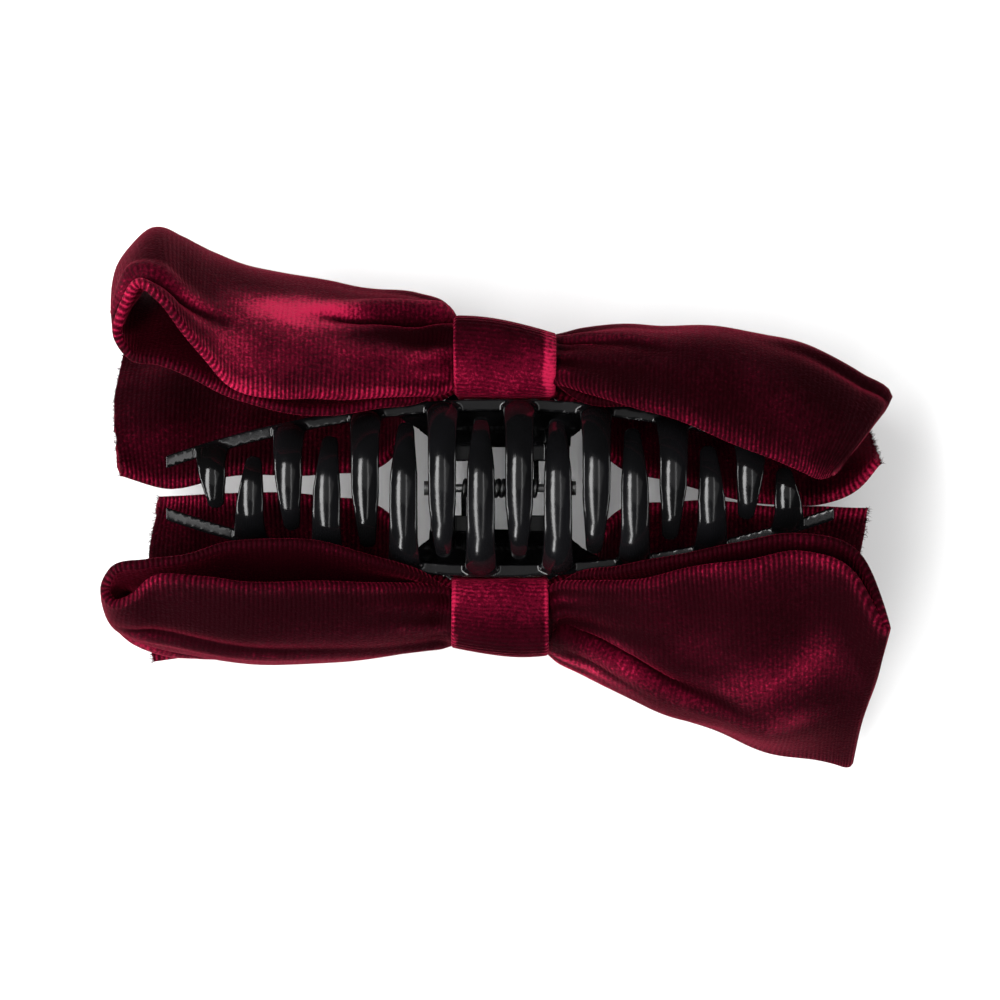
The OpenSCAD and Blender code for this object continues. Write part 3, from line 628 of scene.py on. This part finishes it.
def thread_material():
    """Twisted thread in the ribbon's colour."""
    material, tree, shader = new_material("gathering_thread")
    link = tree.links.new
    place = add(tree, "ShaderNodeTexCoord")
    twist = add(tree, "ShaderNodeTexWave", Scale=400.0, Distortion=1.5)
    twist.bands_direction = "DIAGONAL"
    link(place.outputs["Object"], twist.inputs["Vector"])
    tone = ramp(tree, twist.outputs["Fac"], [(0.2, (0.06, 0.004, 0.014)), (0.8, (0.2, 0.012, 0.045))])
    link(tone, shader.inputs["Base Color"])
    bump = add(tree, "ShaderNodeBump", Strength=0.5, Distance=0.0001)
    link(twist.outputs["Fac"], bump.inputs["Height"])
    link(bump.outputs["Normal"], shader.inputs["Normal"])
    shader.inputs["Roughness"].default_value = 0.8
    return material


# From the deepest painted shade to the brightest painted highlight of the wine velvet
WINE_SHADE_TO_HIGHLIGHT = [
    (0.12, (0.005, 0.0001, 0.0008)),
    (0.38, (0.017, 0.0004, 0.0026)),
    (0.62, (0.075, 0.0014, 0.0095)),
    (0.95, (0.4, 0.011, 0.05)),
]
VELVET = velvet_material("ribbed_velvet", WINE_SHADE_TO_HIGHLIGHT, 0.85, 0.32)
BAND_VELVET = velvet_material("band_velvet", WINE_SHADE_TO_HIGHLIGHT, 0.75, 0.2)
PLASTIC = plastic_material()
PIN_STEEL = steel_material("drawn_pin_wire", (0.2,) * 3, (0.36,) * 3)
SPRING_STEEL = steel_material("oiled_spring_wire", (0.06,) * 3, (0.16,) * 3)
GLUE = glue_material()
THREAD = thread_material()


def dress(obj, material, body):
    """Gives a piece its material and slot, and the body that carries it."""
    obj.data.materials.clear()
    obj.data.materials.append(material)
    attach(obj, body)


# ---- Camera, floor and lights ----

CAMERA_UP = 0.629  # height of the camera above the floor
SEEN_WIDTH = 0.1667  # width of the picture at the height of the rails
RAIL_HEIGHT = 0.029
FLOOR_REACH = 6.0
FLOOR_GAP = 0.0005  # below the lever ends


def make_camera():
    """A camera straight above the claw."""
    data = bpy.data.cameras.new("camera")
    data.sensor_width = 36
    data.lens = data.sensor_width * (CAMERA_UP - RAIL_HEIGHT) / SEEN_WIDTH
    data.clip_start, data.clip_end = 0.01, 10
    obj = bpy.data.objects.new("camera", data)
    bpy.context.scene.collection.objects.link(obj)
    obj.location = (0, 0, CAMERA_UP)
    bpy.context.scene.camera = obj


def make_light(name, place, aim, width, height, power):
    """A rectangular light that faces aim."""
    data = bpy.data.lights.new(name, "AREA")
    data.shape = "RECTANGLE"
    data.size, data.size_y = width, height
    data.energy = power
    obj = bpy.data.objects.new(name, data)
    bpy.context.scene.collection.objects.link(obj)
    obj.location = place
    way = Vector(aim) - Vector(place)
    obj.rotation_euler = way.to_track_quat("-Z", "Y").to_euler()


def make_floor():
    """A pale floor that the plastic doesn't mirror."""
    far = FLOOR_REACH
    corners = [(-far, -far, 0), (far, -far, 0), (far, far, 0), (-far, far, 0)]
    floor = make_object("floor", corners, [[0, 1, 2, 3]])
    material, tree, shader = new_material("pale_floor")
    place = add(tree, "ShaderNodeTexCoord")
    noise = add(tree, "ShaderNodeTexNoise", Scale=3.0)
    tree.links.new(place.outputs["Object"], noise.inputs["Vector"])
    tone = ramp(tree, noise.outputs["Fac"], [(0.3, (0.92,) * 3), (0.7, (0.95,) * 3)])
    tree.links.new(tone, shader.inputs["Base Color"])
    shader.inputs["Roughness"].default_value = 0.9
    floor.data.materials.append(material)
    floor.location.z = -FLOOR_GAP
    floor.visible_glossy = False


make_camera()
make_floor()
make_light("long_strip", (-0.2, -0.47, 0.55), (-0.2, -0.47, 0), 0.13, 1.65, 7.4)
make_light("low_strip", (-0.26, -1.3, 0.29), (-0.26, 0, 0.29), 0.13, 0.5, 2.6)
make_light("thin_strip", (0.11, -0.4, 0.6), (0.11, -0.4, 0), 0.04, 1.5, 0.6)
make_light("left_card", (-0.9, -0.1, 0.3), (0, 0, 0.03), 1.2, 0.3, 10.0)
make_light("right_card", (0.9, -0.1, 0.3), (0, 0, 0.03), 1.2, 0.3, 4.0)
make_light("soft_top", (0.1, 0.25, 1.5), (0, 0, 0), 1.2, 1.2, 1.8)
world = bpy.data.worlds.new("studio")
bpy.context.scene.world = world
world.use_nodes = True
sky = world.node_tree.nodes["Background"]
sky.inputs["Color"].default_value = (1, 1, 1, 1)
sky.inputs["Strength"].default_value = 0.6
world.cycles_visibility.glossy = False
bpy.context.scene.view_settings.view_transform = "Standard"

# ---- Jaws and pin ----

JAW_VOXEL = 0.24
JAW_PASSES = 5
PIN_EDGE = 0.12


def soften(obj, voxel, passes):
    """Eased edges: an even mesh, smoothed in so many passes."""
    remesh = obj.modifiers.new("even_mesh", "REMESH")
    remesh.mode = "VOXEL"
    remesh.voxel_size = voxel
    remesh.use_smooth_shade = True
    ease = obj.modifiers.new("eased_edges", "SMOOTH")
    ease.factor = 0.5
    ease.iterations = passes


for name in ("front_jaw", "back_jaw"):
    jaw = frame["nodes"][name]
    jaw.data.materials.clear()
    jaw.data.materials.append(PLASTIC)
    soften(jaw, JAW_VOXEL * MM, JAW_PASSES)

pin = frame["nodes"]["hinge_pin"]
pin.data.materials.clear()
pin.data.materials.append(PIN_STEEL)
edge = pin.modifiers.new("rounded_rim", "BEVEL")
edge.width = PIN_EDGE * MM
edge.segments = 2

# ---- Spring ----

WIRE_R = 0.425
WIRE_SIDES = 12
COIL_D = 3.4  # outside
COIL_R = (COIL_D - 2 * WIRE_R) / 2
COIL_PITCH = 2 * WIRE_R * 1.09
LEG_ANGLE = math.radians(37.7)  # between each leg and straight down
LEG_L = 9.0
COIL_TURNS = 13 + (math.pi - 2 * LEG_ANGLE) / (2 * math.pi)
COIL_HALF = COIL_TURNS * COIL_PITCH / 2
TURN_POINTS = 28


def spring_path():
    """From the front leg's end, round the coil, to the back leg's end, about the hinge axis."""
    s = np.linspace(0, 1, int(COIL_TURNS * TURN_POINTS) + 1)
    start = math.pi - LEG_ANGLE
    whole = 2 * math.pi * COIL_TURNS
    a = start + whole - (math.pi - 2 * LEG_ANGLE) - whole * s
    coil = np.stack([COIL_HALF * (2 * s - 1), COIL_R * np.cos(a), COIL_R * np.sin(a)], axis=1)
    front = np.array([0, -math.sin(LEG_ANGLE), -math.cos(LEG_ANGLE)])
    back = np.array([0, math.sin(LEG_ANGLE), -math.cos(LEG_ANGLE)])
    reach = np.linspace(LEG_L, 0.5, 12)[:, None]
    return np.concatenate([coil[0] + reach * front, coil, coil[-1] + reach[::-1] * back])


path = spring_path()
rings = tube_rings(path, WIRE_R, WIRE_SIDES)
points = (rings.reshape(-1, 3) + [0, HINGE_Y, HINGE_Z]) * MM
spring = make_object("torsion_spring_wire", points, tube_faces(len(path), WIRE_SIDES))
spring.data.materials.append(SPRING_STEEL)
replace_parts(spring, "torsion_spring")
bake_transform(spring)

# ---- Bows ----

STEP = 0.55  # between the points of a cloth grid
GATHER = 0.33
LOOP_RIPPLE = 0.34
TAIL_RIPPLE = 0.25
# painted shade on the inner layer of a loop
INNER_PAINTED_SHADE = 0.25  # how much darker the inner layer of a loop is
HAIRS = 420  # loose threads on a tail's raw end
HAIR_REACH = 0.75
HAIR_R = 0.03
HAIR_SIDES = 4
HAIR_TIP = 0.3  # share of its radius that is left at the tip
RAGGED = 0.22  # how uneven a tail's raw end is
BAND_CORNER = 3.6
BAND_STEPS = 14  # points on a corner
BAND_ROUND = 180  # points round the band
BAND_COLUMNS = 30  # points across it
BAND_INSET = 0.9  # how far the cloth stands back from the outer side of its CAD box
BAND_PINCH = 0.55  # how much fuller the middle is than the edges
BAND_SLANT = {"front": -0.6, "back": 1.4}  # of the outer side, from the middle to an edge
BAND_SHIFT = {"front": 0, "back": 0.8}
BAND_BULGE = 0.45
TIE_CORNER = 2.4
TIE_STEPS = 10
TIE_TURNS = 5
TIE_R = 0.3
TIE_SIDES = 8
TIE_POINTS = 72  # points on a turn
GLUE_VOXEL = 0.5
GLUE_PASSES = 12


def fray(tube, seed, count, reach):
    """Loose pile threads along the raw end of a tail: short curved hairs, as lines of points."""
    draw = np.random.default_rng(seed)
    last, before = tube[-1], tube[-4]
    n = len(last)
    hairs = []
    for _ in range(count):
        k = draw.integers(0, n)
        way = last[k] - before[k]
        way = way / np.linalg.norm(way) + draw.normal(0, 0.45, 3)
        way /= np.linalg.norm(way)
        bend = draw.normal(0, 0.3, 3)
        length = reach * draw.uniform(0.35, 1.0)
        t = np.linspace(-0.35, 1, 5)[:, None]
        hairs.append(last[k] + way * t * length + bend * (t.clip(0) ** 2) * length)
    return hairs


def hair_object(name, hairs, radius, side, mirrored):
    """One mesh of hairs, each a thin tube that narrows at its tip."""
    points, faces = [], []
    for hair in hairs:
        rings = tube_rings(hair, radius, HAIR_SIDES)
        rings[-1] = hair[-1] + (rings[-1] - hair[-1]) * HAIR_TIP
        faces += tube_faces(len(hair), HAIR_SIDES, len(points))
        points += [tuple(p) for p in rings.reshape(-1, 3)]
    points = placed(points, side, mirrored)
    cloth = points * MM
    cloth[:, 2] = 0.45
    return make_object(name, points * MM, faces, cloth)


def make_loop(key, seed):
    """One velvet loop, key being its side of the claw and its hand."""
    side, hand = key.split("_")
    rows = np.array(LOOPS[key], float)
    rows[:, :, 0] -= RIBBON_T / 2 * smooth(30, 60, rows[:, :, 0])
    grid, s, share = cloth_grid(rows, STEP)
    grid = ripple(grid, s, share, seed, LOOP_RIPPLE)
    grid = gather(grid, share, seed + 7, GATHER)
    grid = pleat(grid, share, PLEATS[key])
    # painted highlights and shade over the loop, with painted shade on its inner layer
    grid_values = around(painted_light_of(grid, share, PAINTED_LIGHT_PATCHES[key], INNER_PAINTED_SHADE))
    obj = skin_object(f"{key}_loop", thicken(grid), s, grid_values, side, hand == "left")
    dress(obj, VELVET, BODY[side])
    return obj


def make_tail(key, seed):
    """One velvet tail with a ragged end and its loose threads."""
    side, hand = key.split("_")
    grid, s, share = cloth_grid(TAIL_ROOT + TAILS[key], STEP)
    grid = ripple(grid, s, share, seed, TAIL_RIPPLE)
    draw = np.random.default_rng(seed + 50)
    ragged = draw.normal(0, RAGGED, grid.shape[1])
    way = grid[-1] - grid[-3]
    way /= np.linalg.norm(way, axis=1, keepdims=True)
    grid[-1] = grid[-2] + way * (0.4 + np.abs(ragged))[:, None]
    tube = thicken(grid)
    # painted shade in folds and painted sheen on rims, lifted a little overall
    grid_values = around(painted_light_of(grid, share, [], 0)) + 0.08
    obj = skin_object(f"{key}_tail", tube, s, grid_values, side, hand == "left")
    dress(obj, VELVET, BODY[side])
    threads = fray(tube, seed, HAIRS, HAIR_REACH)
    hairs = hair_object(f"{key}_tail_fray", threads, HAIR_R, side, hand == "left")
    dress(hairs, VELVET, BODY[side])
    return obj


def band_ring(low, high, bottom, top, corner, steps):
    """A rounded rectangle in [outwards, height], as points from the middle of its outer side round."""
    points = []
    for cu, cz, a0 in (
        (high - corner, top - corner, 0),
        (low + corner, top - corner, 90),
        (low + corner, bottom + corner, 180),
        (high - corner, bottom + corner, 270),
    ):
        for a in np.radians(np.linspace(a0, a0 + 90, steps)):
            points.append([cu + corner * math.cos(a), cz + corner * math.sin(a)])
    return np.array(points + points[:1])


def resample(line, count):
    """Points at even distances along a line, its last point left out."""
    at = distances(line)
    want = np.linspace(0, at[-1], count, endpoint=False)
    return np.stack([np.interp(want, at, line[:, i]) for i in range(line.shape[1])], axis=1)


def band_grid(side, seed, low, high, inner, outer):
    """The middle surface of a band, as rings of points at columns across it."""
    draw = np.random.default_rng(seed)
    phase = draw.uniform(0, 6.28, 4)
    edge = RIBBON_T / 2
    grid = []
    for c in np.linspace(-1, 1, BAND_COLUMNS):
        pinch = BAND_PINCH * (1 - c * c)
        slant = c * BAND_SLANT[side]
        ring = band_ring(
            inner + edge,
            outer - edge - BAND_INSET + pinch - slant,
            low[2] + edge,
            high[2] - edge,
            BAND_CORNER,
            BAND_STEPS,
        )
        ring = resample(ring, BAND_ROUND)
        a = np.linspace(0, 2 * math.pi, BAND_ROUND, endpoint=False)
        wave = 0.12 * np.sin(3 * a + phase[0] + 2 * c) + 0.1 * np.sin(5 * a + phase[1] - 3 * c)
        centre = ring.mean(0)
        away = ring - centre
        away /= np.linalg.norm(away, axis=1, keepdims=True)
        ring = ring + away * wave[:, None]
        bulge = BAND_BULGE * math.exp(-(((c * high[0] - 1) / 3) ** 2))
        ring[:, 0] -= bulge * smooth(high[2] - 7, high[2] - 1, ring[:, 1]) * (ring[:, 0] < centre[0])
        skew = 0.5 * np.sin(a + phase[2]) * (1 if c > 0 else -1) * abs(c)
        x = c * (high[0] - edge) + skew * 0.5 + BAND_SHIFT[side]
        grid.append(np.column_stack([x, ring]))
    return np.array(grid)


def make_band(side, seed):
    """The short length of ribbon wrapped round the gathered middle, with folded edges."""
    low, high = (np.array(corner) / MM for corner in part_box(f"{side}_bow_band"))
    inner, outer = sorted(abs(y - HINGE_Y) for y in (low[1], high[1]))
    half_w = high[0]
    grid = band_grid(side, seed, low, high, inner, outer)
    closed = np.concatenate([grid, grid[:, :1]], axis=1)
    n = np.cross(np.gradient(closed, axis=1), np.gradient(closed, axis=0))
    n /= np.linalg.norm(n, axis=2, keepdims=True)
    n[:, 0] = n[:, -1] = (n[:, 0] + n[:, -1]) / 2
    n = n[:, :-1]
    right = np.array([1.0, 0, 0])
    tube = skin(grid.transpose(1, 0, 2), n.transpose(1, 0, 2), right, -right).transpose(1, 0, 2)
    wrapped = np.linspace(0, 2 * (outer - inner + high[2] - low[2]), BAND_ROUND, endpoint=False)
    # painted light on the band: lighter towards the claw where the light falls on it, darker outwards,
    # with a painted highlight on its folded edges
    painted_light_inward = smooth(outer, inner, tube[:, :, 1])
    grid_values = 0.3 + 0.45 * painted_light_inward + 0.3 * (np.abs(tube[:, :, 0]) > half_w - 0.9)
    cloth = np.zeros(tube.shape)
    cloth[:, :, 0] = wrapped[None, :] * MM
    cloth[:, :, 1] = tube[:, :, 0] * MM
    cloth[:, :, 2] = grid_values
    ribs = 0.35 + 0.5 * (np.abs(tube[:, :, 0]) > half_w - 1.2)
    faces = tube_faces(len(tube), BAND_ROUND, closed=True)
    obj = make_object(f"{side}_band", placed(tube, side) * MM, faces, cloth.reshape(-1, 3), ribs)
    dress(obj, BAND_VELVET, BODY[side])
    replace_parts(obj, f"{side}_bow_band")


def make_tie(side):
    """The turns of gathering thread under a band."""
    low, high = (np.array(corner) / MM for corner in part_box(f"{side}_bow_tie"))
    inner, outer = sorted(abs(y - HINGE_Y) for y in (low[1], high[1]))
    r = TIE_R
    ring = band_ring(inner + r, outer - r, low[2] + r, high[2] - r, TIE_CORNER, TIE_STEPS)
    ring = resample(ring, TIE_POINTS)
    loops = np.concatenate([ring] * TIE_TURNS + [ring[:1]])
    x = np.linspace(low[0] + r, high[0] - r, len(loops))
    path = np.column_stack([x, loops])
    points = placed(tube_rings(path, r, TIE_SIDES), side)
    obj = make_object(f"{side}_tie", points * MM, tube_faces(len(path), TIE_SIDES))
    dress(obj, THREAD, BODY[side])
    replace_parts(obj, f"{side}_bow_tie")


def make_glue(side, seed):
    """Hot glue squeezed out between the lever and the bow."""
    node = frame["nodes"][f"{side}_bow_glue_pad"]
    obj = bpy.data.objects.new(f"{side}_glue", node.data.copy())
    bpy.context.scene.collection.objects.link(obj)
    soften(obj, GLUE_VOXEL * MM, GLUE_PASSES)
    dg = bpy.context.evaluated_depsgraph_get()
    mesh = bpy.data.meshes.new_from_object(obj.evaluated_get(dg))
    obj.modifiers.clear()
    obj.data = mesh
    co = np.array([v.co for v in mesh.vertices]) / MM
    centre = co.mean(0)
    draw = np.random.default_rng(seed)
    swell = np.zeros(len(co))
    for _ in range(6):
        way = draw.normal(0, 0.35, 3)
        swell += np.sin(co @ way + draw.uniform(0, 6.28))
    away = co - centre
    away[:, 1] *= 0.2
    away /= np.linalg.norm(away, axis=1, keepdims=True)
    co = co + away * (0.35 * swell / 2 - 0.3)[:, None]
    mesh.vertices.foreach_set("co", (co * MM).astype(np.float32).ravel())
    mesh.polygons.foreach_set("use_smooth", [True] * len(mesh.polygons))
    mesh.update()
    dress(obj, GLUE, BODY[side])
    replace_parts(obj, f"{side}_bow_glue_pad")


for number, side in enumerate(("front", "back")):
    make_band(side, 11 + number)
    make_tie(side)
    make_glue(side, 31 + number)
    for count, hand in enumerate(("left", "right")):
        key = f"{side}_{hand}"
        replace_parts(make_loop(key, 100 + 10 * number + count), f"{side}_bow_ribbon")
        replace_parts(make_tail(key, 200 + 10 * number + count), f"{side}_bow_tails")
